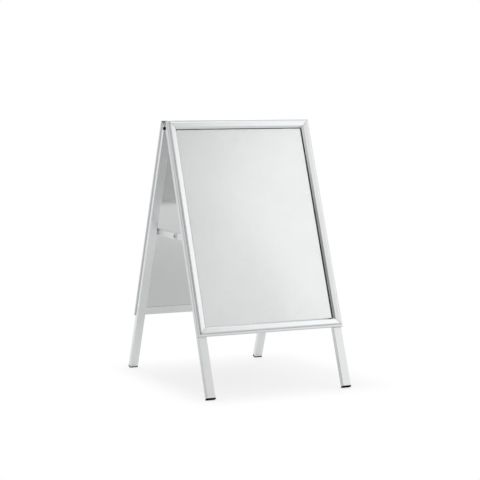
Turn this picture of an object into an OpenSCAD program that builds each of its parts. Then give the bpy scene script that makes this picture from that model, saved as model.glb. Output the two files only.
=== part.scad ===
// A-frame pavement sign: two poster panels with flip-open rails, hinged at the
// top and held apart by a folding stay on each side.
//
// Frame: +Z is up, the ground is z = 0, X runs across the sign and the front
// panel is on the -Y side. The stored pose is the open, standing sign.
// Each panel is drawn upright about the hinge line and then leaned over:
// there -Y points out of the panel and +Z runs up it.

/* [Poster] */

// Width of the poster sheet
poster_w = 420; // [297:1:500]
// Height of the poster sheet
poster_h = 594; // [420:1:700]
// How far the rails lap over each poster edge
poster_lap = 12; // [9:0.5:12.5]
// Thickness of the steel backing sheet
backing_t = 0.6; // [0.5:0.1:1]
// Thickness of the clear cover sheet
clear_t = 0.5; // [0.3:0.1:0.8]

/* [Stance] */

// Lean of each open panel from the vertical, in degrees
lean = 20.5; // [18:0.5:23]
// Leg length below the bottom rail
leg_drop = 172; // [120:1:260]
// Height of the frame's top edge above the hinge line
frame_rise = 16; // [14:0.5:20]
// Distance from the hinge line to the inner face of each leg
hinge_gap = 5; // [5:0.1:5.8]

/* [Legs] */

// Width of the leg tube, seen from the front
leg_w = 25; // [20:0.5:30]
// Depth of the leg tube
leg_d = 15; // [12:0.5:20]
// Wall of the leg tube
leg_wall = 1.4; // [1.2:0.1:2]
// Outer corner radius of the leg tube
leg_r = 1.2; // [0.8:0.1:2]
// Set-back of the legs from the frame's outer edge
leg_inset = 3; // [1:0.5:5]
// Flange thickness of the leg end caps
cap_t = 2; // [1.5:0.1:3]
// Depth of an end cap inside the tube
cap_plug = 11; // [8:0.5:16]
// Clearance round an end cap's plug, per side
cap_fit = 0.15; // [0.1:0.05:0.3]
// Wall of an end cap's plug
cap_wall = 1.85; // [1.4:0.05:2.5]
// Width of the flat heel that stands on the ground
heel_w = 2.5; // [1.5:0.1:4]

/* [Rails] */

// Width of a rail from the outer edge to the lip
rail_w = 27; // [26.5:0.5:30]
// Height of the rail above its back face
rail_h = 12.2; // [12:0.1:13]
// Wall of the rail extrusion
rail_wall = 1.3; // [1.1:0.1:1.4]
// Floor thickness of the rail extrusion
floor_t = 1.2; // [1:0.1:1.5]
// How far the rail's floor stays back from the lip
floor_back = 2.4; // [1:0.1:4]
// Width of the fixed outer strip beside the flip cover
strip_w = 5.2; // [4.8:0.1:5.4]
// Height of the fixed outer strip
strip_h = 7; // [6.6:0.1:7]
// Radius of the strip's outer edge
strip_r = 2.4; // [1:0.1:2.6]
// Radius of the cover's hinge bead
bead_r = 1.5; // [1.3:0.05:1.6]
// Clearance round the hinge bead
bead_gap = 0.3; // [0.3:0.05:0.4]
// Wall of the channel that holds the bead
bead_wall = 0.9; // [0.8:0.05:1]
// Thickness of the flip cover
cover_t = 1.2; // [1:0.1:1.4]
// Radius of the cover's outer shoulder
shoulder_r = 3; // [2.6:0.1:3.1]
// Fall of the cover's face towards the poster
face_fall = 0.8; // [0:0.1:1.2]
// Slope of the cover's inner lip, measured across the rail
lip_slope = 4.4; // [3:0.1:6]
// Gap between neighbouring covers at each mitre, per side
mitre_gap = 0.6; // [0.3:0.05:0.6]
// Height of the rubber seal under the lip
seal_h = 2.6; // [2:0.1:3.2]
// Gap between the seal and the clear sheet
seal_gap = 0.4; // [0.3:0.05:0.6]

/* [Hinge] */

// Radius of the hinge pin
pin_r = 2.4; // [2:0.1:2.4]
// Running clearance between a pin and its bore
run_fit = 0.05; // [0.02:0.01:0.1]
// Length of each hinge
hinge_l = 70; // [50:1:90]
// Length of the outer knuckles
knuckle_l = 17.7; // [14:0.1:22]
// End gap between knuckles, and between other sliding faces
side_gap = 0.3; // [0.3:0.05:0.5]
// Thickness of the hinge leaf
leaf_t = 2.5; // [2:0.1:2.5]
// How far the leaf reaches below the hinge line
leaf_drop = 26; // [22:1:40]
// Head radius of the black hinge plugs
plug_r = 5; // [4:0.1:5]
// Head height of the black hinge plugs
plug_h = 3.8; // [2:0.1:5]
// Length of a plug's collar at the end of the knuckle
collar_l = 5; // [3:0.5:8]

/* [Folding stay] */

// Distance of the stay pivots from the hinge line, along the leg
stay_drop = 328; // [280:1:400]
// How far the middle rivet hangs below the end pivots when open
stay_sag = 3.5; // [2:0.5:8]
// Width of the stay links
link_w = 18; // [14:0.5:18]
// Thickness of the stay links
link_t = 2.5; // [2:0.1:3]
// Radius of the stay pivots
stay_pin_r = 2.5; // [2:0.1:3]
// Room between the leg and the nearer link
stay_stand = 4.5; // [3:0.1:6]
// Radius of the spacers that hold the links off the legs
spacer_r = 5.5; // [4.5:0.1:7]
// Radius of the rivet heads that keep the links on
stay_head_r = 4.6; // [4:0.1:6]
// Radius of the middle rivet's black head
rivet_cap_r = 5.6; // [4:0.1:7]
// Height of the middle rivet's black head
rivet_cap_h = 2.2; // [1:0.1:2.5]

/* [Hidden] */

$fn = 48;
eps = 0.01;

frame_w = poster_w + 2 * (rail_w - poster_lap);
frame_h = poster_h + 2 * (rail_w - poster_lap);
leg_x = frame_w / 2 - leg_inset;
leg_in = leg_x - leg_w;
leg_v = hinge_gap + leg_d / 2;
rail_back = -(hinge_gap + leg_d);
frame_mid = frame_rise - frame_h / 2;
foot = frame_h - frame_rise + leg_drop;
cap_top = (hinge_gap * cos(lean) - 0.55) / sin(lean);
leg_top = cap_top - cap_t;
leg_bot = -(foot - cap_t);
pivot_h = foot * cos(lean) - (hinge_gap + heel_w * cos(lean)) * sin(lean);

// Rail section: p runs in from the outer edge, q out from the back face.
crown_p = rail_w - lip_slope;
crown_q = rail_h - face_fall;
neck_w = 1.4;
bead_p = strip_w + 2.8;
edge_p = bead_p - neck_w / 2;
shoulder_p = edge_p + shoulder_r;
shoulder_q = rail_h - shoulder_r;
bead_q = strip_h + 1;
channel_r = bead_r + bead_gap;
channel_or = channel_r + bead_wall;
lip_q = floor_t + backing_t + clear_t + seal_gap + seal_h;
rib_p = rail_w - poster_lap - 1.6;
key_p = bead_p + neck_w / 2 + 0.4;
key_w = rib_p - key_p - 0.3;
rivet_p = (bead_p + neck_w / 2 + rib_p) / 2;
rivet_r = 1.2;
rivet_head_r = (rib_p - bead_p - neck_w / 2) / 2 - 0.45;
side_rivets = [-0.385, -0.128, 0.128, 0.385];
top_rivet_x = 0.22 * frame_w;
spring_l = 16;
spring_at = 0.3125;

// Crossbar and hinge screws.
bar_mid = leg_top - leg_w / 2;
port_z = leg_top - 2.9;
port_y = -(hinge_gap + 5.6);
bar_screw_r = 1.4;
knuckle_r = hinge_gap - 0.4;
leaf_mid = leg_x - hinge_l / 2;
leaf_hole = (hinge_l - leg_w) / 2;
leaf_screw_z = bar_mid - 7.5;
leaf_screw_r = 1.5;
stub_l = 3;
pin_in = collar_l + stub_l + 0.2;

// Folding stay: the front link runs inside the rear link.
stay_in = 1.2;
stay_v = leg_v - stay_in;
stay_tail_r = leg_d / 2 - leg_wall - stay_in - 0.9;
stay_y = stay_drop * sin(lean) + stay_v * cos(lean);
stay_z = pivot_h - stay_drop * cos(lean) + stay_v * sin(lean);
stay_tilt = atan2(stay_sag, stay_y);
link_l = sqrt(stay_y * stay_y + stay_sag * stay_sag);
rear_link_x = leg_in - stay_stand;
front_link_x = rear_link_x - link_t - side_gap;

silver = [0.78, 0.79, 0.80];
bright = [0.86, 0.87, 0.88];
zinc = [0.62, 0.64, 0.66];
black = [0.06, 0.06, 0.06];

// Placing helpers

// Leans a panel over at the hinge line: side 0 is the front, 1 the rear.
module panel(side) {
    if (side == 1) {
        mirror([0, 1, 0]) lean_over() children();
    } else {
        lean_over() children();
    }
}

module lean_over() {
    translate([0, 0, pivot_h]) rotate([-lean, 0, 0]) children();
}

// Repeats a left-hand shape on both sides.
module both_sides() {
    children();
    mirror([1, 0, 0]) children();
}

// Extrudes a (y, z) section along X, from x0 on.
module along_x(x0, l) {
    translate([x0, 0, 0]) rotate([90, 0, 90]) linear_extrude(l) children();
}

// A cylinder along X.
module rod_x(x0, x1, r) {
    translate([x0, 0, 0]) rotate([0, 90, 0]) cylinder(r = r, h = x1 - x0);
}

// A cylinder along -Y that starts at the depth y0.
module rod_y(y0, l, r) {
    translate([0, y0, 0]) rotate([90, 0, 0]) cylinder(r = r, h = l);
}

// Puts a rail bar on one edge of the frame: 0 left, 1 top, 2 right, 3 bottom.
module on_edge(k) {
    dx = [-frame_w / 2, 0, frame_w / 2, 0];
    dz = [0, frame_h / 2, 0, -frame_h / 2];
    translate([dx[k], rail_back, frame_mid + dz[k]])
        rotate([0, 90 * k, 0])
        mirror([0, 1, 0])
        children();
}

function edge_len(k) = (k % 2 == 0) ? frame_h : frame_w;

module round_rect(w, d, r) {
    square([w - 2 * r, d], center = true);
    square([w, d - 2 * r], center = true);
    for (x = [-1, 1], y = [-1, 1]) {
        translate([x * (w / 2 - r), y * (d / 2 - r)]) circle(r);
    }
}

module tube_section(w, d) {
    difference() {
        round_rect(w, d, leg_r);
        round_rect(w - 2 * leg_wall, d - 2 * leg_wall, leg_r / 2);
    }
}

// Legs, crossbar and end caps

module leg(side) {
    color(silver) panel(side) difference() {
        translate([-leg_x + leg_w / 2, -leg_v, leg_bot])
            linear_extrude(leg_top - leg_bot) tube_section(leg_w, leg_d);
        translate([0, port_y, port_z])
            rod_x(-leg_x - 1, -leg_in + 1, bar_screw_r + run_fit);
        for (f = side_rivets) {
            translate([-frame_w / 2 + rivet_p, 0, frame_mid + f * frame_h])
                rod_y(rail_back + leg_wall + 0.5, leg_wall + 1, rivet_r + run_fit);
        }
        translate([-leaf_mid - leaf_hole, 0, leaf_screw_z])
            rod_y(1, hinge_gap + leg_wall + 1.5, leaf_screw_r + run_fit);
        translate([0, -stay_v, -stay_drop])
            rod_x(-leg_in - leg_wall - 1, -leg_in + 1, stay_pin_r + run_fit);
    }
}

module crossbar(side) {
    l = 2 * (leg_in - eps);
    color(silver) panel(side) difference() {
        along_x(-l / 2, l) difference() {
            union() {
                translate([-leg_v, bar_mid]) tube_section(leg_d, leg_w);
                translate([port_y, port_z]) circle(2.4);
            }
            translate([port_y, port_z]) circle(bar_screw_r + run_fit);
        }
        both_sides() {
            translate([-leaf_mid + leaf_hole, 0, leaf_screw_z])
                rod_y(1, hinge_gap + leg_wall + 1.5, leaf_screw_r + run_fit);
            translate([-top_rivet_x, 0, frame_rise - rivet_p])
                rod_y(rail_back + leg_wall + 0.5, leg_wall + 1, rivet_r + run_fit);
        }
    }
}

// One moulded cap, drawn with its flange face at z = 0 and the tube above it.
module leg_cap() {
    plug_w = leg_w - 2 * (leg_wall + cap_fit);
    plug_d = leg_d - 2 * (leg_wall + cap_fit);
    difference() {
        union() {
            linear_extrude(cap_t) round_rect(leg_w, leg_d, leg_r);
            linear_extrude(cap_t + cap_plug) round_rect(plug_w, plug_d, leg_r / 2);
        }
        translate([0, 0, cap_t + 1])
            linear_extrude(cap_plug)
            square([plug_w - 2 * cap_wall, plug_d - 2 * cap_wall], center = true);
        translate([0, leg_d / 2 - heel_w * cos(lean), 0])
            rotate([lean, 0, 0])
            translate([-leg_w, 0, -5])
            cube([2 * leg_w, 3 * heel_w, 5]);
    }
}

module feet(side) {
    color(black) panel(side) both_sides()
        translate([-leg_x + leg_w / 2, -leg_v, -foot]) leg_cap();
}

module top_caps(side) {
    color(silver) panel(side) both_sides() difference() {
        translate([-leg_x + leg_w / 2, -leg_v, cap_top]) mirror([0, 0, 1]) leg_cap();
        translate([0, port_y, port_z])
            rod_x(-leg_x - 1, -leg_in + 1, bar_screw_r + run_fit);
    }
}

module crossbar_screws(side) {
    color(zinc) panel(side) both_sides() translate([0, port_y, port_z]) {
        rod_x(-leg_x - 0.9, -leg_x, 2.3);
        rod_x(-leg_x - eps, -leg_in + 9, bar_screw_r);
    }
}

// Rails

module channel_ring() {
    translate([bead_p, bead_q]) difference() {
        circle(channel_or);
        polygon([
            [0, 0],
            [6 * cos(45), 6 * sin(45)],
            [0, 9],
            [-9, 0],
            [6 * cos(215), 6 * sin(215)]
        ]);
    }
}

module rail_section() {
    difference() {
        union() {
            translate([0.8, 0]) square([rail_w - floor_back - 0.8, floor_t]);
            translate([0, 0.8]) square([strip_w, strip_h - strip_r - 0.8]);
            translate([0.8, 0]) square([strip_w - 0.8, strip_h - strip_r]);
            translate([0.8, 0.8]) circle(0.8);
            translate([strip_r, 1]) square([strip_w - strip_r, strip_h - 1]);
            translate([strip_r, strip_h - strip_r]) circle(strip_r);
            translate([strip_w - 1, 1]) square([2.1, strip_h - 1.6]);
            translate([bead_p - 0.7, 0]) square([1.4, bead_q - channel_r - 0.2]);
            translate([rib_p, 0]) square([1, floor_t + 1.4]);
            channel_ring();
        }
        translate([rail_wall, rail_wall])
            square([bead_p - 0.7 - rail_wall, bead_q - channel_or - rail_wall - 0.1]);
        translate([bead_p, bead_q]) circle(channel_r);
    }
}

// Keeps the part of a bar inside its two mitres, less a cut-back.
module mitred(l, cut) {
    w = rail_w + 2;
    intersection() {
        translate([0, 0, -l / 2]) linear_extrude(l) children();
        rotate([90, 0, 0]) linear_extrude(4 * rail_h, center = true) polygon([
            [0, -l / 2 + cut],
            [0, l / 2 - cut],
            [w, l / 2 - w - cut],
            [w, -l / 2 + w + cut]
        ]);
    }
}

module rail(side, k) {
    color(silver) panel(side) on_edge(k) difference() {
        mitred(edge_len(k), eps) rail_section();
        if (k % 2 == 0) {
            for (f = side_rivets) {
                translate([rivet_p, 0, f * frame_h])
                    rod_y(floor_t + 1, floor_t + 2, rivet_r + run_fit);
            }
        }
        if (k == 1) {
            for (z = [-top_rivet_x, top_rivet_x]) {
                translate([rivet_p, 0, z])
                    rod_y(floor_t + 1, floor_t + 2, rivet_r + run_fit);
            }
        }
    }
}

// One blind rivet, drawn as in a bar: q = 0 is the rail's back face.
module rail_rivet() {
    rod_y(floor_t + 0.8, 0.8, rivet_head_r);
    rod_y(floor_t + eps, floor_t + leg_wall + 1, rivet_r);
    rod_y(-leg_wall, 1.2, rivet_head_r - 0.2);
}

module rail_rivets(side) {
    color(zinc) panel(side) {
        for (k = [0, 2], f = side_rivets) {
            on_edge(k) translate([rivet_p, 0, f * frame_h]) rail_rivet();
        }
        for (z = [-top_rivet_x, top_rivet_x]) {
            on_edge(1) translate([rivet_p, 0, z]) rail_rivet();
        }
    }
}

module corner_keys(side) {
    arm = 34;
    color(zinc) panel(side) translate([0, rail_back - floor_t, frame_mid]) both_sides() {
        for (m = [0, 1]) {
            mirror([0, 0, m]) translate([-frame_w / 2, 0, -frame_h / 2])
                rotate([90, 0, 0]) linear_extrude(1.5) polygon([
                    [key_p, key_p],
                    [key_p + arm, key_p],
                    [key_p + arm, key_p + key_w],
                    [key_p + key_w, key_p + key_w],
                    [key_p + key_w, key_p + arm],
                    [key_p, key_p + arm]
                ]);
        }
    }
}

module cover_springs(side) {
    color(zinc) panel(side) for (k = [0, 1, 2, 3], m = [-1, 1]) {
        on_edge(k)
            translate([key_p, floor_t, m * spring_at * edge_len(k) - spring_l / 2])
            linear_extrude(spring_l)
            polygon([[0, 0], [4, 0], [4, 0.5], [0.9, 0.5], [3.5, 5], [3.1, 5.3], [0, 0.8]]);
    }
}

// Sheets

module backing_sheet(side) {
    color(zinc) panel(side)
        translate([-poster_w / 2, rail_back - floor_t - backing_t, frame_mid - poster_h / 2])
        cube([poster_w, backing_t, poster_h]);
}

module clear_sheet(side) {
    color([0.9, 0.92, 0.93, 0.5]) panel(side)
        translate([
            -poster_w / 2,
            rail_back - floor_t - backing_t - clear_t,
            frame_mid - poster_h / 2
        ])
        cube([poster_w, clear_t, poster_h]);
}

// Flip covers and their seals

// Quarter-round outer shoulder of a cover, with a short straight foot.
module cover_shoulder() {
    translate([shoulder_p, shoulder_q]) intersection() {
        difference() {
            circle(shoulder_r);
            circle(shoulder_r - cover_t);
        }
        translate([-shoulder_r, 0]) square(shoulder_r);
    }
    translate([edge_p, shoulder_q - 0.4]) square([cover_t, 0.4 + eps]);
}

module cover_section() {
    cover_shoulder();
    polygon([
        [shoulder_p - eps, rail_h - cover_t],
        [shoulder_p - eps, rail_h],
        [crown_p - 0.6, crown_q],
        [crown_p, crown_q - 0.4],
        [rail_w, lip_q + 0.6],
        [rail_w, lip_q],
        [rail_w - 1.4, lip_q],
        [rail_w - 1.4, lip_q + 0.5],
        [crown_p - 1, crown_q - cover_t]
    ]);
}

// The bead and its neck stop square, short of the mitres, so that the cover
// can swing past its neighbours.
module cover(side, k) {
    bead_l = edge_len(k) - 2 * (bead_p + bead_r + 1);
    color(bright) panel(side) on_edge(k) {
        mitred(edge_len(k), mitre_gap) cover_section();
        translate([bead_p, bead_q, -bead_l / 2]) linear_extrude(bead_l) {
            circle(bead_r);
            translate([-neck_w / 2, 0]) square([neck_w, shoulder_q - bead_q]);
        }
    }
}

module seal(side, k) {
    color(black) panel(side) on_edge(k)
        mitred(edge_len(k), mitre_gap + 0.6)
        translate([rail_w - 1.5, lip_q - seal_h]) square([1.3, seal_h]);
}

// Hinge

// Section of a leaf: the plate, and the knuckle where knuckle is true.
module leaf_section(knuckle) {
    top = knuckle ? 3 : -(knuckle_r + 2 * side_gap);
    difference() {
        union() {
            translate([-hinge_gap, -leaf_drop]) square([leaf_t, leaf_drop + top]);
            if (knuckle) {
                circle(knuckle_r);
            }
        }
        if (knuckle) {
            circle(pin_r + run_fit);
        }
    }
}

module hinge_leaf(side) {
    inner_l = hinge_l - 2 * knuckle_l - 2 * side_gap;
    outer_first = side == 0;
    gap_l = outer_first ? 0 : side_gap;
    difference() {
        union() {
            along_x(-hinge_l / 2, hinge_l) leaf_section(false);
            if (outer_first) {
                along_x(-hinge_l / 2 + collar_l, knuckle_l - collar_l) leaf_section(true);
                along_x(hinge_l / 2 - knuckle_l, knuckle_l - collar_l) leaf_section(true);
            } else {
                along_x(-inner_l / 2, inner_l) leaf_section(true);
            }
        }
        for (x = [-leaf_hole, leaf_hole]) {
            translate([x, 0, leaf_screw_z]) rod_y(1, hinge_gap + 2, leaf_screw_r + run_fit);
        }
    }
}

module hinge_leaves(side) {
    color(silver) panel(side) both_sides() translate([-leaf_mid, 0, 0]) hinge_leaf(side);
}

module hinge_screws(side) {
    y0 = leaf_t - hinge_gap;
    color(zinc) panel(side) both_sides() for (x = [-leaf_hole, leaf_hole]) {
        translate([x - leaf_mid, 0, leaf_screw_z]) {
            rod_y(y0 + 1.2, 1.2, 2.9);
            rod_y(y0 + eps, leaf_t + leg_wall + 3, leaf_screw_r);
        }
    }
}

module hinge_pins() {
    color(zinc) translate([0, 0, pivot_h]) both_sides()
        rod_x(-leg_x + pin_in, -leg_x + hinge_l - pin_in, pin_r);
}

// One black plug: its stub fills the knuckle's bore, its collar and head close
// the end and hide the pin.
module hinge_plug() {
    rod_x(-collar_l - stub_l, side_gap - collar_l + eps, pin_r);
    rod_x(side_gap - collar_l, side_gap + eps, knuckle_r);
    rod_x(side_gap, plug_h - 1.2, plug_r);
    translate([plug_h - 1.2 - eps, 0, 0])
        rotate([0, 90, 0])
        cylinder(r1 = plug_r, r2 = plug_r - 1.4, h = 1.2);
}

module hinge_plugs() {
    color(black) translate([0, 0, pivot_h]) both_sides() {
        translate([-leg_x, 0, 0]) mirror([1, 0, 0]) hinge_plug();
        translate([-leg_x + hinge_l, 0, 0]) hinge_plug();
    }
}

// Folding stay

// Section of a link from its pivot at the origin to the rivet at x = link_l.
module link_section(hole_at_rivet) {
    difference() {
        union() {
            circle(link_w / 2);
            translate([link_l, 0]) circle(link_w / 2);
            translate([0, -link_w / 2]) square([link_l, link_w]);
        }
        circle(stay_pin_r + run_fit);
        if (hole_at_rivet) {
            translate([link_l, 0]) circle(stay_pin_r + run_fit);
        }
    }
}

// Front link: its inner end carries the peened tail of the middle rivet.
module front_link() {
    color(silver) translate([0, -stay_y, stay_z]) rotate([-stay_tilt, 0, 0]) {
        along_x(-front_link_x, link_t) link_section(false);
        translate([0, link_l, 0]) rod_x(-front_link_x + link_t - eps, -front_link_x + link_t + 1.4, 3.6);
    }
}

module rear_link() {
    color(silver) mirror([0, 1, 0]) translate([0, -stay_y, stay_z]) rotate([-stay_tilt, 0, 0])
        along_x(-rear_link_x, link_t) link_section(true);
}

// Middle rivet: it is fixed in the rear link and stops short of the front one.
module stay_rivet() {
    cap_x = -rear_link_x - rivet_cap_h;
    color(black) translate([0, 0, stay_z - stay_sag]) {
        rod_x(-rear_link_x - eps, -rear_link_x + link_t - side_gap / 2, stay_pin_r);
        rod_x(cap_x + 0.8, -rear_link_x, rivet_cap_r);
        translate([cap_x, 0, 0])
            rotate([0, 90, 0])
            cylinder(r1 = rivet_cap_r - 1.2, r2 = rivet_cap_r, h = 0.8 + eps);
    }
}

// Shouldered pivot in the leg wall, carrying one link: a head inside the leg,
// a spacer, the pin and the outer head.
module stay_pivot(x) {
    link_end = -x + link_t + side_gap / 2;
    translate([0, -stay_v, -stay_drop]) {
        rod_x(-leg_in - leg_wall - 1.2, -leg_in - leg_wall, stay_tail_r);
        rod_x(-leg_in - leg_wall - eps, link_end + 0.05, stay_pin_r);
        rod_x(-leg_in, -x - side_gap / 2, spacer_r);
        rod_x(link_end, link_end + 1.35, stay_head_r);
    }
}

module stay_pivots(side) {
    x = side == 0 ? front_link_x : rear_link_x;
    color(zinc) panel(side) both_sides() stay_pivot(x);
}

// Nodes

leg(0);  // front_leg_left
mirror([1, 0, 0]) leg(0);  // front_leg_right
crossbar(0);  // front_crossbar
rail(0, 0);  // front_rail_left
rail(0, 1);  // front_rail_top
rail(0, 2);  // front_rail_right
rail(0, 3);  // front_rail_bottom
backing_sheet(0);  // front_backing_sheet
clear_sheet(0);  // front_clear_sheet
corner_keys(0);  // front_corner_keys
rail_rivets(0);  // front_rail_rivets
cover_springs(0);  // front_cover_springs
feet(0);  // front_feet
top_caps(0);  // front_top_caps
crossbar_screws(0);  // front_crossbar_screws
hinge_leaves(0);  // front_hinge_leaves
hinge_screws(0);  // front_hinge_screws
stay_pivots(0);  // front_stay_pivots
cover(0, 0);  // front_cover_left
cover(0, 1);  // front_cover_top
cover(0, 2);  // front_cover_right
cover(0, 3);  // front_cover_bottom
seal(0, 0);  // front_seal_left
seal(0, 1);  // front_seal_top
seal(0, 2);  // front_seal_right
seal(0, 3);  // front_seal_bottom
leg(1);  // rear_leg_left
mirror([1, 0, 0]) leg(1);  // rear_leg_right
crossbar(1);  // rear_crossbar
rail(1, 0);  // rear_rail_left
rail(1, 1);  // rear_rail_top
rail(1, 2);  // rear_rail_right
rail(1, 3);  // rear_rail_bottom
backing_sheet(1);  // rear_backing_sheet
clear_sheet(1);  // rear_clear_sheet
corner_keys(1);  // rear_corner_keys
rail_rivets(1);  // rear_rail_rivets
cover_springs(1);  // rear_cover_springs
feet(1);  // rear_feet
top_caps(1);  // rear_top_caps
crossbar_screws(1);  // rear_crossbar_screws
hinge_leaves(1);  // rear_hinge_leaves
hinge_screws(1);  // rear_hinge_screws
stay_pivots(1);  // rear_stay_pivots
cover(1, 0);  // rear_cover_left
cover(1, 1);  // rear_cover_top
cover(1, 2);  // rear_cover_right
cover(1, 3);  // rear_cover_bottom
seal(1, 0);  // rear_seal_left
seal(1, 1);  // rear_seal_top
seal(1, 2);  // rear_seal_right
seal(1, 3);  // rear_seal_bottom
hinge_pins();
hinge_plugs();
front_link();  // stay_left_front_link
rear_link();  // stay_left_rear_link
stay_rivet();  // stay_left_rivet
mirror([1, 0, 0]) front_link();  // stay_right_front_link
mirror([1, 0, 0]) rear_link();  // stay_right_rear_link
mirror([1, 0, 0]) stay_rivet();  // stay_right_rivet
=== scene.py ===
# %% [markdown]
# # An A-frame pavement sign in Blender
# This lesson dresses a folding A-frame sign: two poster panels in silver snap
# rails, on tube legs, hinged at the top. Every part could be modelled again
# here, but the CAD model already has each one at its real size, on its real
# joints. So the parts are loaded as they are, and the work is in finish, light
# and camera, with two thin black trims that matter to a picture alone.

import math
import re

import bmesh
import bpy
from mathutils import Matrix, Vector


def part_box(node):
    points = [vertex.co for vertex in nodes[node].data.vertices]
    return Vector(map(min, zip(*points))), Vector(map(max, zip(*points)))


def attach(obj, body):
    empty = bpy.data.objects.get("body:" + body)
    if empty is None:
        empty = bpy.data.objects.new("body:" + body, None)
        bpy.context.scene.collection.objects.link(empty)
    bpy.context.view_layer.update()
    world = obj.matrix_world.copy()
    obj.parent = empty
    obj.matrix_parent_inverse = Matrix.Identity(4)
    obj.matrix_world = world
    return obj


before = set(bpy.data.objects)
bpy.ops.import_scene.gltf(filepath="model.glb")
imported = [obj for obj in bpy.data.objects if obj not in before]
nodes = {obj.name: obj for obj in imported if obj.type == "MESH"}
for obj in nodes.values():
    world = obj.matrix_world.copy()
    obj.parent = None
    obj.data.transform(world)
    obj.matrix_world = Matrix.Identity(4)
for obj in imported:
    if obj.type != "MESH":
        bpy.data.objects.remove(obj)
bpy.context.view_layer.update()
scene = bpy.context.scene

# %% [markdown]
# ## Measures
# The sign is two panels that lean together and meet at the hinge line. Grain
# has to run along rails that lean, and trims have to sit on them, so the lean
# and the height of the hinge line are needed again here. They could be worked
# out from the loaded meshes, but two named numbers are easier to follow, and
# the hinge pins show whether the height is right.

# %% Measures of the sign
MM = 0.001
LEAN = math.radians(20.5)
HINGE_HEIGHT = 728.03 * MM
PANELS = {"front": -1, "rear": 1}
pins_low, pins_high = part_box("hinge_pins")
print("hinge line at", round(HINGE_HEIGHT, 4), "m, middle of the pins at",
      round((pins_low[2] + pins_high[2]) / 2, 4), "m")

# %% [markdown]
# ## Writing a finish as a sum
# No real surface of the sign is one flat colour, so each finish is a graph of
# nodes, and most of such a graph is arithmetic. It could be built by adding and
# linking every Math node by hand, which hides what is meant. The small class
# below wraps one output socket instead, and Python's own plus, minus and times
# add the nodes, so that a finish reads like a formula.

# %% Sockets that can be added and scaled


class Wire:
    """One output socket of a finish, used like a number."""

    def __init__(self, finish, socket):
        self.finish = finish
        self.socket = socket

    def _math(self, operation, first, second):
        settings = {"operation": operation}
        return self.finish.node("ShaderNodeMath", settings, {0: first, 1: second})

    def __add__(self, other):
        return self._math("ADD", self, other)

    def __radd__(self, other):
        return self._math("ADD", other, self)

    def __sub__(self, other):
        return self._math("SUBTRACT", self, other)

    def __rsub__(self, other):
        return self._math("SUBTRACT", other, self)

    def __mul__(self, other):
        return self._math("MULTIPLY", self, other)

    def __rmul__(self, other):
        return self._math("MULTIPLY", other, self)


print("reflected forms:", ", ".join(key for key in vars(Wire) if key.startswith("__r")))

# %% [markdown]
# ## One method for every other node
# A finish also needs noise, mixes, bumps and the main shader. Each kind could
# have its own wrapper, but they are all made alike: choose the kind, change its
# settings, then fill its sockets with values or wires. The order matters,
# because a setting can change which sockets a node has. One method does this
# for all of them, and a second one ends every finish of the sign.

# %% The tree of a finish


class Finish:
    """The node tree of one material or of the world."""

    def __init__(self, owner):
        owner.use_nodes = True
        self.owner = owner
        self.tree = owner.node_tree
        self.tree.nodes.clear()

    def node(self, kind, settings=None, inputs=None, out=0):
        """Adds a node: its settings first, then the values or wires of its sockets."""
        made = self.tree.nodes.new(kind)
        for key, value in (settings or {}).items():
            setattr(made, key, value)
        for key, value in (inputs or {}).items():
            if isinstance(value, Wire):
                self.tree.links.new(value.socket, made.inputs[key])
            else:
                made.inputs[key].default_value = value
        return Wire(self, made.outputs[out]) if made.outputs else made

    def shade(self, color, roughness, metallic, **extra):
        """The main shader and the output. Extra sockets are given by name."""
        inputs = {"Base Color": color, "Roughness": roughness, "Metallic": metallic}
        inputs.update({key.replace("_", " "): value for key, value in extra.items()})
        shader = self.node("ShaderNodeBsdfPrincipled", None, inputs)
        self.node("ShaderNodeOutputMaterial", None, {"Surface": shader})
        return self.owner


def new_finish(name):
    return Finish(bpy.data.materials.new(name))


print("what a finish can do:", ", ".join(key for key in vars(Finish) if key[0] != "_"))

# %% [markdown]
# ## Where a point lies on a panel
# Extruded aluminium carries faint lines along its length, and a sheet has its
# own up and across. The pieces could be unwrapped to say which way that is, but
# their meshes stay as the CAD made them. Object coordinates are the room's
# coordinates here, so a Mapping node turns them upright by the panel's lean.
# They belong to the object, so the grain stays in place when the sign folds.

# %% Panel coordinates
EVEN = (1.0, 1.0, 1.0)
GRAIN = {"upright": (1.0, 1.0, 0.004), "across": (0.004, 1.0, 1.0)}


def object_point(finish):
    return finish.node("ShaderNodeTexCoord", None, None, "Object")


def panel_point(finish, side, stretch=EVEN):
    """Object coordinates turned upright on the front (-1) or rear (+1) panel."""
    return finish.node("ShaderNodeMapping", {"vector_type": "POINT"}, {
        "Vector": object_point(finish),
        "Rotation": (-side * LEAN, 0.0, 0.0),
        "Scale": stretch,
    })


print("grain stretched", round(1 / min(GRAIN["upright"])), "times along a piece")

# %% [markdown]
# ## Noise and tints
# Metal, plastic and rubber all vary a little from spot to spot. A picture could
# hold that, but it would be stretched on one piece and seen twice on another.
# Noise has no edges, no seams and no size in pixels, and it is given in spots
# to a metre, so that it keeps its scale on a screw and on a sheet alike. A tint
# then goes from one colour to another by such a noise.

# %% Noise and tints


def noise(finish, point, per_metre, detail=2.0):
    """Smooth noise around 0.5, with about so many spots to a metre."""
    return finish.node("ShaderNodeTexNoise", None, {
        "Vector": point, "Scale": per_metre, "Detail": detail,
    }, "Fac")


# Colour sockets of a Mix node, which come after its sockets for numbers and vectors.
MIX_FACTOR, MIX_LOW, MIX_HIGH, MIXED = 0, 6, 7, 2


def tint(finish, low, high, amount):
    """A colour between two colours, each given as three numbers or as a wire."""
    low, high = (color if isinstance(color, Wire) else (*color, 1.0) for color in (low, high))
    return finish.node("ShaderNodeMix", {"data_type": "RGBA"}, {
        MIX_FACTOR: amount, MIX_LOW: low, MIX_HIGH: high,
    }, MIXED)


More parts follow.
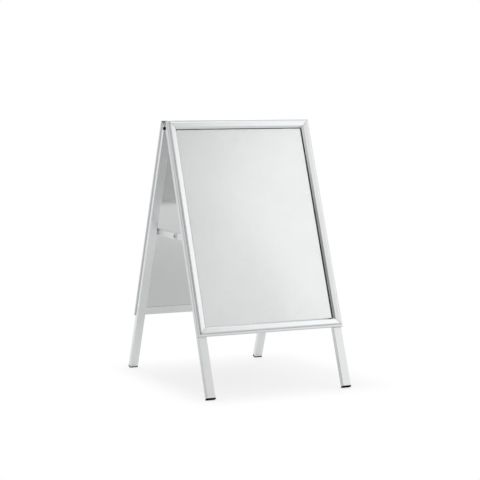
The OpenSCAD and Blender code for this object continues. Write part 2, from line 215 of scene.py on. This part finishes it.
print("a tint uses sockets", (MIX_FACTOR, MIX_LOW, MIX_HIGH), "of its Mix node")

# %% [markdown]
# ## Gloss that wavers and skin that is raised
# Where a real surface has fine lines or a moulded texture, its gloss wavers and
# its skin is raised by hundredths of a millimetre. The mesh could carry that,
# but it would need millions of faces. A roughness that moves around its middle
# and a Bump node look the same at this size. The middle stays the middle
# however much the noise adds, so that the two can be set apart.

# %% Wavering values and bumps


def around(middle, *wavers):
    """A value that wavers around its middle. Each waver is a noise and its share."""
    total = sum(share for _, share in wavers)
    value = middle - total / 2
    for wire, share in wavers:
        value = value + wire * share
    return value


def bump(finish, height, strength, distance):
    """A normal raised by a height."""
    return finish.node("ShaderNodeBump", None, {
        "Height": height, "Strength": strength, "Distance": distance,
    })


print("a value that wavers by 0.1 around 0.3 starts at", around(0.3, (0.0, 0.1)))

# %% [markdown]
# ## Satin anodised aluminium
# Legs, rails and covers are extrusions: pushed through a die, which leaves fine
# lines along them, then anodised to an even satin silver. An anisotropic gloss
# could smear their reflections, but it takes its direction from an unwrapped
# mesh. Noise stretched along the length needs none: it moves the colour and
# the roughness a little and raises a very small bump, and a slow second noise
# keeps long faces from looking printed. Covers are brighter and smoother than
# tubes. The rear tubes that the camera sees from inside are the palest: a
# lighter copy of the same silver, painted light that stands in for the bright
# floor they mirror under the sign.

# %% Anodised finishes
SILVERS = {
    "tube": {"low": (0.61, 0.62, 0.625), "high": (0.70, 0.71, 0.715), "roughness": 0.30},
    # Painted light: the rear tubes seen from inside get a paler copy of the tube silver.
    "inner": {"low": (0.72, 0.73, 0.735), "high": (0.82, 0.83, 0.835), "roughness": 0.30},
    "cover": {"low": (0.65, 0.66, 0.665), "high": (0.73, 0.74, 0.745), "roughness": 0.22},
}
PANEL_SILVERS = {"front": ("tube", "cover"), "rear": ("tube", "inner", "cover")}
finishes = {}


def anodised(name, side, stretch, low, high, roughness):
    finish = new_finish(name)
    lines = noise(finish, panel_point(finish, side, stretch), per_metre=2400.0, detail=3.0)
    cloud = noise(finish, panel_point(finish, side), per_metre=14.0)
    color = tint(finish, low, high, lines * 0.35 + cloud * 0.65)
    rough = around(roughness, (lines, 0.10), (cloud, 0.05))
    raised = bump(finish, lines, strength=0.12, distance=0.04 * MM)
    return finish.shade(color, rough, 1.0, Normal=raised)


for panel, parts in PANEL_SILVERS.items():
    for part in parts:
        for way, stretch in GRAIN.items():
            finishes[panel, part, way] = anodised(
                f"anodised_{part}_{panel}_{way}", PANELS[panel], stretch, **SILVERS[part])
print("anodised finishes:", len(finishes))

# %% [markdown]
# ## A sheet with two sides
# The steel sheet behind the poster has a bright zinc side towards the poster
# and a plain coat on the side that faces into the sign. Two materials on two
# faces would be the usual way, but that changes the CAD mesh. So one material
# asks which way its surface looks: along the panel's outward direction or
# against it.

# %% Which side of a sheet


def out_of_panel(side):
    """The direction that the front (-1) or rear (+1) poster looks in."""
    return (0.0, side * math.cos(LEAN), math.sin(LEAN))


def poster_side(finish, side):
    """1 where a sheet faces the poster, 0 on its other side."""
    normal = finish.node("ShaderNodeTexCoord", None, None, "Normal")
    facing = finish.node("ShaderNodeVectorMath", {"operation": "DOT_PRODUCT"}, {
        0: normal, 1: out_of_panel(side),
    }, "Value")
    return finish.node("ShaderNodeMath", {"operation": "GREATER_THAN"}, {0: facing, 1: 0.0})


print("the front poster looks towards", [round(part, 3) for part in out_of_panel(-1)])

# %% [markdown]
# ## Zinc-coated sheet behind the poster
# Zinc freezes into flat crystals, the spangle, each of which reflects a little
# differently, and so large a thin sheet is never quite flat: its reflections
# wander. The sheet could be modelled wavy, but its solid has to stay flat for
# the rails. Voronoi cells give the spangle instead, and one slow noise bends
# the normal. The coat on the other side is smoother, so that it mirrors the
# room in one soft fade, and it is painted a little darker, as shade for the
# inside of the sign.

# %% Galvanised finish


def galvanised(name, side, coat_with_painted_shade, low, high, coat_roughness, roughness):
    finish = new_finish(name)
    point = panel_point(finish, side)
    crystal = finish.node("ShaderNodeTexVoronoi", None, {
        "Vector": point, "Scale": 130.0,
    }, "Color")
    spangle = finish.node("ShaderNodeSeparateColor", None, {"Color": crystal}, "Red")
    grain = noise(finish, point, per_metre=900.0)
    wave = noise(finish, point, per_metre=5.0, detail=1.0)
    bright = tint(finish, low, high, spangle * 0.3 + grain * 0.3 + wave * 0.4)
    outside = poster_side(finish, side)
    color = tint(finish, coat_with_painted_shade, bright, outside)
    middle = outside * roughness + (1 - outside) * coat_roughness
    rough = around(middle, (spangle, 0.02), (grain, 0.02))
    raised = bump(finish, wave, strength=0.5, distance=2.0 * MM)
    return finish.shade(color, rough, 1.0, Normal=raised)


for panel, side in PANELS.items():
    # The coat's darker colour is painted shade for the inside of the sign.
    finishes[panel, "zinc"] = galvanised(
        f"galvanised_sheet_{panel}", side, coat_with_painted_shade=(0.68, 0.685, 0.685),
        low=(0.71, 0.72, 0.72), high=(0.78, 0.79, 0.79), coat_roughness=0.08, roughness=0.18)
print("finishes with zinc:", len(finishes))

# %% [markdown]
# ## The clear sheet
# A thin anti-glare plastic sheet keeps rain off the poster. It could be made
# with transmission, as glass is, but half a millimetre of plastic bends no
# light that can be seen, and that way renders slowly. The sheet hides almost
# nothing and adds a soft gloss, so it is a mostly see-through white with a
# satin reflection. The main shader's Alpha does this.

# %% Clear finish
SHEET_WHITE = (0.93, 0.94, 0.95, 1.0)


def clear_plastic(name, side, alpha, roughness):
    finish = new_finish(name)
    haze = noise(finish, panel_point(finish, side), per_metre=25.0)
    rough = around(roughness, (haze, 0.06))
    seen = around(alpha, (haze, 0.02))
    return finish.shade(SHEET_WHITE, rough, 0.0, Alpha=seen)


for panel, side in PANELS.items():
    finishes[panel, "clear"] = clear_plastic(
        f"clear_sheet_{panel}", side, alpha=0.09, roughness=0.12)
print("finishes with the clear sheets:", len(finishes))

# %% [markdown]
# ## Plastic and rubber
# Feet, hinge plugs and the legs' top caps are moulded, with the fine spark
# texture of their mould, and the seals are soft rubber whose black is partly
# painted shade for the dark gap under each cover. One plain dark colour would
# look cut out of the picture, because even black plastic catches light in its
# texture. So a fine noise raises a small bump and a slow one clouds the colour
# and the gloss. The feet are the dullest, and the top caps are dark grey.

# %% Moulded finishes


def moulded(name, low, high, roughness, shine):
    finish = new_finish(name)
    point = object_point(finish)
    spark = noise(finish, point, per_metre=3000.0, detail=1.0)
    cloud = noise(finish, point, per_metre=60.0)
    color = tint(finish, low, high, spark * 0.4 + cloud * 0.6)
    rough = around(roughness, (cloud, 0.12))
    raised = bump(finish, spark, strength=0.25, distance=0.06 * MM)
    return finish.shade(color, rough, 0.0, Specular_IOR_Level=shine, Normal=raised)


finishes["plug"] = moulded("black_plastic", low=(0.003, 0.003, 0.003),
                           high=(0.008, 0.008, 0.008), roughness=0.6, shine=0.05)
finishes["foot"] = moulded("foot_rubber", low=(0.004, 0.004, 0.004),
                           high=(0.010, 0.010, 0.010), roughness=0.9, shine=0.0)
finishes["cap"] = moulded("grey_plastic", low=(0.18, 0.185, 0.19),
                          high=(0.24, 0.245, 0.25), roughness=0.5, shine=0.4)
# The seals' black is partly painted shade for the dark gap under each cover.
finishes["seal"] = moulded("seal_rubber", low=(0.010, 0.010, 0.010),
                           high=(0.022, 0.022, 0.022), roughness=0.6, shine=0.2)
print("finishes with plastic and rubber:", len(finishes))

# %% [markdown]
# ## Plated steel
# Screws, pins, springs, corner keys, rail rivets and the stay's pivots are
# zinc-plated steel, darker than the anodised rails. They are a few pixels each,
# and could share one grey with the folding stay. But the stay's flat links are
# a pale satin that hardly mirrors, and its middle rivet and the crossbar's
# screws look darker than the rest. So one function makes all three finishes,
# each with its own values.

# %% Plated finishes


def plated(name, low, high, roughness, metallic=1.0):
    finish = new_finish(name)
    point = object_point(finish)
    fleck = noise(finish, point, per_metre=1500.0)
    cloud = noise(finish, point, per_metre=90.0)
    color = tint(finish, low, high, fleck * 0.5 + cloud * 0.5)
    rough = around(roughness, (fleck, 0.10))
    raised = bump(finish, fleck, strength=0.10, distance=0.05 * MM)
    return finish.shade(color, rough, metallic, Normal=raised)


finishes["plated"] = plated("plated_steel", low=(0.50, 0.51, 0.52),
                            high=(0.62, 0.63, 0.64), roughness=0.34)
finishes["link"] = plated("satin_link", low=(0.74, 0.75, 0.76),
                          high=(0.82, 0.83, 0.84), roughness=0.50, metallic=0.35)
finishes["rivet"] = plated("dark_rivet", low=(0.32, 0.32, 0.33),
                           high=(0.42, 0.42, 0.43), roughness=0.40)
print("finishes in all:", len(finishes))

# %% [markdown]
# ## Dressing the CAD pieces
# Every part of the real sign has one finish. Sixty parts could be given theirs
# one by one, but their names already say what they are. So a short list of name
# patterns does it: the first that fits wins, and what fits none is plated
# steel. Grain follows the piece: across on the top and bottom pieces and the
# crossbar, and upright elsewhere.

# %% Give each piece its finish
FINISH_BY_NAME = (
    (r"_seal_", "seal"),
    (r"_cover_(left|top|right|bottom)$", "cover"),
    (r"_backing_sheet$", "zinc"),
    (r"_clear_sheet$", "clear"),
    (r"_feet$", "foot"),
    (r"^hinge_plugs$", "plug"),
    (r"_top_caps$", "cap"),
    (r"_link$", "link"),
    (r"_rivet$|_crossbar_screws$", "rivet"),
    # Painted light: the rear tubes seen from inside get the paler silver.
    (r"^rear_(leg_left|leg_right|rail_bottom|crossbar)$", "inner"),
    (r"_(leg|rail)_(left|top|right|bottom)$|_crossbar$|_hinge_leaves$", "tube"),
    (r"", "plated"),
)


def finish_for(name):
    """The finish of a CAD piece, from the words of its name."""
    part = next(part for pattern, part in FINISH_BY_NAME if re.search(pattern, name))
    panel = "rear" if name.startswith("rear") else "front"
    way = "across" if re.search(r"_(top|bottom|crossbar)$", name) else "upright"
    keys = (part, (panel, part), (panel, part, way))
    return next(finishes[key] for key in keys if key in finishes)


for name, piece in nodes.items():
    piece.data.materials.clear()
    piece.data.materials.append(finish_for(name))
print("dressed:", len(nodes), "pieces in", len({finish_for(name) for name in nodes}), "finishes")

# %% [markdown]
# ## Trims that are only in the picture
# Two thin black trims aren't in the CAD model: a hem round each foot of the
# real sign, and a lip on each seal, whose black is partly seal and partly
# painted shade. They could be modelled upright and then turned as objects.
# Here each point is worked out where it belongs, so that no turn has to be
# kept in step with the lean. Both trims are rings of points, one after
# another, with bands of faces between them.

# %% Points and bands


def on_panel(side, x, out, up):
    """A point of the room from a point of the front (-1) or rear (+1) panel."""
    return (x, side * (out * math.cos(LEAN) - up * math.sin(LEAN)),
            HINGE_HEIGHT + out * math.sin(LEAN) + up * math.cos(LEAN))


def band(first, second, count):
    """Faces between two rings of points, each known by its first point's number."""
    return [(first + k, first + (k + 1) % count, second + (k + 1) % count, second + k)
            for k in range(count)]


half_down = [round(part, 3) for part in on_panel(-1, 0, 0, -0.5)]
print("half a metre down the front panel:", half_down)

# %% [markdown]
# ## A piece that moves with the sign
# On the real sign a hem turns with its leg, and a lip with its cover. Trims
# could be joined to the CAD meshes, but those stay as they are, so each trim is
# a piece of its own that rides on a body. Which way a face looks depends on the
# order of its points, and that order flips between left and right and between
# front and rear. The lists could be reversed case by case, but one call that
# turns all faces outwards is shorter and can't be forgotten.

# %% Pieces that ride on a body


def put_in_scene(name, data):
    thing = bpy.data.objects.new(name, data)
    scene.collection.objects.link(thing)
    return thing


def closed_piece(name, points, faces, finish, body):
    """A closed piece with its faces turned outwards. It moves with a body of the sign."""
    mesh = bpy.data.meshes.new(name)
    mesh.from_pydata(points, [], faces)
    shape = bmesh.new()
    shape.from_mesh(mesh)
    bmesh.ops.recalc_face_normals(shape, faces=shape.faces)
    shape.to_mesh(mesh)
    shape.free()
    mesh.materials.append(finish)
    piece = put_in_scene(name, mesh)
    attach(piece, body)
    return piece


# %% [markdown]
# ## The outline of a leg
# The legs are rectangular tubes with slightly rounded corners, as extrusions
# have. A plain rectangle would be quicker to draw, but a hem with sharp corners
# would stand off the tube there. So the outline is four quarter circles, and
# the straight sides between them follow by themselves. A value says how far it
# stands proud of the tube, so that one function draws the hem's outside and its
# inside.

# %% Outline of a leg
LEG_WIDTH, LEG_DEPTH, LEG_CORNER = 25.0 * MM, 15.0 * MM, 1.2 * MM


def rounded_rectangle(width, depth, corner, steps=5):
    """Points round a rectangle with rounded corners, centred on the origin."""
    points = []
    for quarter in range(4):
        x_side = 1 if quarter in (0, 3) else -1
        y_side = 1 if quarter in (0, 1) else -1
        centre = (x_side * (width / 2 - corner), y_side * (depth / 2 - corner))
        for step in range(steps + 1):
            angle = math.radians(90 * (quarter + step / steps))
            points.append((centre[0] + corner * math.cos(angle),
                           centre[1] + corner * math.sin(angle)))
    return points


def leg_outline(proud):
    return rounded_rectangle(LEG_WIDTH + 2 * proud, LEG_DEPTH + 2 * proud, LEG_CORNER + proud)


print("points round a leg:", len(leg_outline(0.0)))

# %% [markdown]
# ## Feet that lap over the tube
# Each black foot closes the end of a tube and laps a few millimetres up its
# outside, which gives the leg its dark hem. The CAD model has the plug and its
# flange. A black stripe could be painted on the tube, but a real hem stands
# proud and catches light on its edge. So it is a thin band round the tube: the
# leg's outline, drawn outside and inside, at two heights.

# %% Foot hems
LEG_MIDDLE_X, LEG_MIDDLE_OUT = 209.5 * MM, 12.5 * MM
# Down the leg from the hinge line to the sole of its foot.
FOOT_END = 780.0 * MM
HEM_FROM, HEM_TO = 1.0 * MM, 4.3 * MM
HEM_PROUD = 0.3 * MM


def foot_hem(panel, hand, middle_x):
    outer, inner = leg_outline(HEM_PROUD), leg_outline(-HEM_PROUD / 2)
    rings = [(outer, HEM_FROM), (outer, HEM_TO), (inner, HEM_TO), (inner, HEM_FROM)]
    points = [on_panel(PANELS[panel], middle_x + x, LEG_MIDDLE_OUT + y, height - FOOT_END)
              for outline, height in rings for x, y in outline]
    count = len(outer)
    faces = [face for ring in range(4)
             for face in band(ring * count, (ring + 1) % 4 * count, count)]
    name = f"{panel}_foot_hem_{hand}"
    return closed_piece(name, points, faces, finishes["foot"], f"{panel}_panel")


hems = [foot_hem(panel, hand, x) for panel in PANELS
        for hand, x in (("left", -LEG_MIDDLE_X), ("right", LEG_MIDDLE_X))]
print("foot hems:", len(hems), "with", len(hems[0].data.polygons), "faces each")

# %% [markdown]
# ## The soft lip of each seal
# Under the inner edge of every flip cover runs a black seal. The CAD model has
# its square strip. A thin soft lip leans out of that strip over the sheet, and
# with it makes the black line beside the poster: partly black rubber, partly
# painted shade for the dark gap under the cover and its reflection in the
# sheet. The lip could be a curve with a bevel, but a curve can't cut its ends
# at 45 degrees like the mitres. So it is a tapered bar, with a four-sided
# section at each end. The black line is broad at the sides and thin at the top
# and bottom, and the lips reach further at the sides.

# %% The section of a lip
RAIL_WIDTH = 27.0 * MM
SEAL_INNER = RAIL_WIDTH - 0.2 * MM
SEAL_FOOT = 2.7 * MM
# The side lips reach further, so that the painted shade of the black line is broad there.
SIDE_REACH, END_REACH = 1.7 * MM, 0.4 * MM
ROOT_BACK = 0.3 * MM
ROOT_FROM, ROOT_TO = 0.1 * MM, 0.9 * MM
TIP_FROM, TIP_TO = 0.02 * MM, 0.25 * MM


def lip_section(reach):
    """Corners of a lip: in from the frame's edge, and out from the rail's back."""
    root, tip = SEAL_INNER - ROOT_BACK, SEAL_INNER + reach
    return [(root, SEAL_FOOT + ROOT_FROM), (tip, SEAL_FOOT + TIP_FROM),
            (tip, SEAL_FOOT + TIP_TO), (root, SEAL_FOOT + ROOT_TO)]


print("lip of a side seal:", round((ROOT_BACK + SIDE_REACH) / MM, 2), "mm wide")

# %% [markdown]
# ## Lips along the four covers
# Each lip flips up with its own cover on the real sign. One frame-shaped ring
# would be quicker to make but could not do that, so there are four separate
# bars, each riding on its cover. Their ends follow the mitres and stop a little
# short of them, so that two lips never touch while one cover opens.

# %% Seal lips
FRAME_WIDTH, FRAME_HEIGHT = 450.0 * MM, 624.0 * MM
# The frame's top edge above the hinge line, and the rails' back out from it.
FRAME_TOP = 16.0 * MM
RAIL_BACK = 20.0 * MM
CORNER_GAP = 1.0 * MM
EDGES = {"left": (-1, 0), "top": (0, 1), "right": (1, 0), "bottom": (0, -1)}


def rail_point(side, edge, inward, outward, along):
    """A point of a rail: in from the frame's edge, out from its back, and along it."""
    x_side, up_side = EDGES[edge]
    if x_side:
        x, up = x_side * (FRAME_WIDTH / 2 - inward), along
    else:
        x, up = along, up_side * (FRAME_HEIGHT / 2 - inward)
    return on_panel(side, x, RAIL_BACK + outward, FRAME_TOP - FRAME_HEIGHT / 2 + up)


def seal_lip_and_shade(panel, edge):
    upright = edge in ("left", "right")
    length = FRAME_HEIGHT if upright else FRAME_WIDTH
    section = lip_section(SIDE_REACH if upright else END_REACH)
    points = []
    for end in (-1, 1):
        for inward, outward in section:
            along = end * (length / 2 - inward - CORNER_GAP)
            points.append(rail_point(PANELS[panel], edge, inward, outward, along))
    faces = [(0, 1, 2, 3), (4, 5, 6, 7)] + band(0, 4, 4)
    name = f"{panel}_seal_lip_and_shade_{edge}"
    return closed_piece(name, points, faces, finishes["seal"], f"{panel}_cover_{edge}")


lips = [seal_lip_and_shade(panel, edge) for panel in PANELS for edge in EDGES]
print("seal lips:", len(lips))

# %% [markdown]
# ## Floor and backdrop
# A product photo is taken on a sheet that sweeps up behind the object, with no
# line between floor and wall. A curved sweep could be modelled, but the sign is
# also seen from behind and from above. A very wide flat floor works from all
# sides, if it turns white a little way off. That needs the distance to the
# sign's footprint, the rectangle between its feet.

# %% Floor sheet and the distance to the footprint
FLOOR_SIZE = 30.0
FOOTPRINT_MIDDLE = (0.04, 0.0, 0.0)
FOOTPRINT_HALF = (0.22, 0.26, 0.0)


def flat_sheet(name, width, height):
    """A flat mesh with four corners, centred on the origin and facing up."""
    x, y = width / 2, height / 2
    mesh = bpy.data.meshes.new(name)
    mesh.from_pydata([(-x, -y, 0), (x, -y, 0), (x, y, 0), (-x, y, 0)], [], [(0, 1, 2, 3)])
    return mesh


def beyond_footprint(finish, point):
    """Metres from the footprint to a point of the floor, and 0 inside it."""
    for operation, value in (("SUBTRACT", FOOTPRINT_MIDDLE), ("ABSOLUTE", None),
                             ("SUBTRACT", FOOTPRINT_HALF), ("MAXIMUM", (0.0, 0.0, 0.0))):
        inputs = {0: point} if value is None else {0: point, 1: value}
        point = finish.node("ShaderNodeVectorMath", {"operation": operation}, inputs, "Vector")
    return finish.node("ShaderNodeVectorMath", {"operation": "LENGTH"}, {0: point}, "Value")


floor = put_in_scene("floor", flat_sheet("floor", FLOOR_SIZE, FLOOR_SIZE))
print("floor:", FLOOR_SIZE, "m wide")

# %% [markdown]
# ## Who looks at the floor
# The lens wants a floor that is white but holds the sign's soft shadow. The
# silver wants one that darkens it a little close to the ground, as a real floor
# does. Two floors, each hidden from one of them, would give two shadows. A
# Light Path node is simpler: it tells whether the camera sent a ray or a shiny
# surface did, and each kind of ray gets its own share of white.

# %% Rays and shares of white
SEEN_FROM, SEEN_TO, SEEN_WHITE = 0.0, 0.14, 0.70
MIRROR_FROM, MIRROR_TO, MIRROR_WHITE = 0.4, 1.6, 0.36


def camera_ray(finish):
    """1 for the rays that the camera sends out."""
    return finish.node("ShaderNodeLightPath", None, None, "Is Camera Ray")


def mirror_ray(finish):
    """1 for the rays of reflections and of clear parts."""
    rays = [finish.node("ShaderNodeLightPath", None, None, out)
            for out in ("Is Glossy Ray", "Is Transmission Ray")]
    return finish.node("ShaderNodeMath", {"operation": "MAXIMUM"}, {0: rays[0], 1: rays[1]})


def whiter_outwards(finish, distance, start, end, white):
    """A share of white: the given one near the sign, and 1 beyond the end."""
    far = finish.node("ShaderNodeMapRange", {"interpolation_type": "SMOOTHSTEP"}, {
        "Value": distance, "From Min": start, "From Max": end,
    })
    return far + (1 - far) * white


print("white to the camera", SEEN_TO, "m outside the footprint, in mirrors", MIRROR_TO, "m")

# %% [markdown]
# ## Two ways to see one floor
# The floor is pale and matt, and glows white further out. A brighter lamp could
# make it white as well, but that would also bleach the sign. The camera sees
# the floor's own shadow on the footprint and plain white soon outside it.
# Reflections see the matt floor a good deal further out, and then white too, so
# that no horizon shows in the legs.

# %% Floor finish
WHITE = (1.0, 1.0, 1.0, 1.0)
FLOOR_PALE = (0.90, 0.90, 0.90, 1.0)
paving = new_finish("pale_floor")
distance = beyond_footprint(paving, object_point(paving))
seen = whiter_outwards(paving, distance, SEEN_FROM, SEEN_TO, SEEN_WHITE)
mirrored = whiter_outwards(paving, distance, MIRROR_FROM, MIRROR_TO, MIRROR_WHITE)
amount = camera_ray(paving) * seen + mirror_ray(paving) * mirrored
matt = paving.node("ShaderNodeBsdfPrincipled", None, {
    "Base Color": FLOOR_PALE, "Roughness": 0.9,
})
glow = paving.node("ShaderNodeEmission", None, {"Color": WHITE, "Strength": 1.0})
sweep = paving.node("ShaderNodeMixShader", None, {0: amount, 1: matt, 2: glow})
paving.node("ShaderNodeOutputMaterial", None, {"Surface": sweep})
floor.data.materials.append(paving.owner)
print("nodes in the floor's finish:", len(paving.tree.nodes))

# %% [markdown]
# ## Studio light
# Silver shows what it reflects, so the light is a white room with soft panels
# in it. Small bare lamps could light it as brightly, but they would leave hard
# spots in the metal. Each lamp is given by where it stands: a turn from the
# front towards the right and a rise above the floor, both in degrees, how far
# away, how large, and how bright beside the white of the room. The lamps to
# the right and behind give the pale edges and the fade across the sheet.

# %% Lamps
SIGN_MIDDLE = Vector((0.0, 0.0, 0.4))


def turn_to_sign(thing, turn, rise, away):
    """Stands a lamp or a card beside the sign and turns it towards the middle."""
    turn, rise = math.radians(turn), math.radians(rise)
    towards = Vector((math.sin(turn) * math.cos(rise),
                      -math.cos(turn) * math.cos(rise), math.sin(rise)))
    thing.location = SIGN_MIDDLE + away * towards
    thing.rotation_euler = (-towards).to_track_quat("-Z", "Y").to_euler()


def soft_lamp(name, turn, rise, away, width, height, level):
    """A soft panel that looks at the sign. A level of 1 is as bright as the room."""
    lamp = bpy.data.lights.new(name, "AREA")
    lamp.shape = "RECTANGLE"
    lamp.size, lamp.size_y = width, height
    lamp.energy = math.pi * width * height * level
    holder = put_in_scene(name, lamp)
    turn_to_sign(holder, turn, rise, away)
    return holder


lamps = [
    soft_lamp("front_right_lamp", turn=55, rise=26.5, away=4.5, width=3.7, height=2.1, level=0.46),
    soft_lamp("right_wall_lamp", turn=112, rise=10, away=3.2, width=3.6, height=1.8, level=0.42),
    soft_lamp("back_right_lamp", turn=153, rise=42, away=3.2, width=2.0, height=2.2, level=0.80),
    soft_lamp("overhead_lamp", turn=150, rise=80, away=3.2, width=3.0, height=3.0, level=0.50),
]
print("lamps:", len(lamps), "with", round(sum(lamp.data.energy for lamp in lamps)), "W together")

# %% [markdown]
# ## Grey cards
# Photographers stand grey cards beside a shiny product, because an edge only
# reads when it mirrors something darker than the room. The room itself could
# be darker on that side, but then matt parts would lose light too. A card is
# seen in reflections alone: it is hidden from the camera, casts no shadow and
# takes no light from matt surfaces.

# %% Cards


def grey_card(name, turn, rise, away, width, height, level):
    """A flat card that looks at the sign and shows as one even grey in metal."""
    grey = new_finish(name)
    glow = grey.node("ShaderNodeEmission", None, {"Color": WHITE, "Strength": level})
    grey.node("ShaderNodeOutputMaterial", None, {"Surface": glow})
    card = put_in_scene(name, flat_sheet(name, width, height))
    card.data.materials.append(grey.owner)
    turn_to_sign(card, turn, rise, away)
    card.visible_camera = False
    card.visible_diffuse = False
    card.visible_shadow = False
    return card


cards = [
    grey_card("left_card", turn=-80, rise=11, away=3.0, width=2.0, height=1.7, level=0.30),
    grey_card("back_left_card", turn=-112, rise=40, away=3.1, width=2.6, height=2.0, level=0.70),
    grey_card("front_left_card", turn=-14, rise=30, away=3.0, width=3.4, height=2.2, level=0.75),
]
print("cards:", len(cards))

# %% [markdown]
# ## The white room
# The world is the room around the sign. One white for everything would be
# simpler, but it would fill the shadow under the sign. So the room is white to
# the camera and in reflections, and a little dimmer for the light that it sends
# to matt surfaces. The Standard view then shows every colour as it is written.

# %% World
ROOM_LIGHT = 0.8
world = bpy.data.worlds.new("studio")
scene.world = world
air = Finish(world)
looked_at = camera_ray(air) + mirror_ray(air)
level = looked_at + (1 - looked_at) * ROOM_LIGHT
room = air.node("ShaderNodeBackground", None, {"Color": WHITE, "Strength": level})
air.node("ShaderNodeOutputWorld", None, {"Surface": room})
scene.view_settings.view_transform = "Standard"
print("room light:", ROOM_LIGHT)

# %% [markdown]
# ## Camera
# The camera stands in front and to the left, a little above the sign, with a
# long lens. It could be placed by eye, but then no edge of the render would lie
# on the photo's. So its place, its turn and its lens were fitted to straight
# edges of the photo, and the lens is written in the photo's own pixels.

# %% Camera
PHOTO_PIXELS = 480
LENS_PIXELS = 1563.911
CAMERA_PLACE = (-1.929413, -4.082485, 0.840117)
CAMERA_TURN = math.radians(25.452)
CAMERA_DIP = math.radians(5.531)
eye = bpy.data.cameras.new("camera")
eye.sensor_width = 36.0
eye.lens = LENS_PIXELS / PHOTO_PIXELS * eye.sensor_width
camera = put_in_scene("camera", eye)
camera.location = CAMERA_PLACE
camera.rotation_euler = (math.pi / 2 - CAMERA_DIP, 0.0, -CAMERA_TURN)
scene.camera = camera
print("lens:", round(eye.lens, 2), "mm")

# %% [markdown]
# ## Sizes
# A trim that sticks out would make the sign larger than it is. That could be
# judged by eye, but a box measured round the dressed sign and round the bare
# CAD parts would be surer.
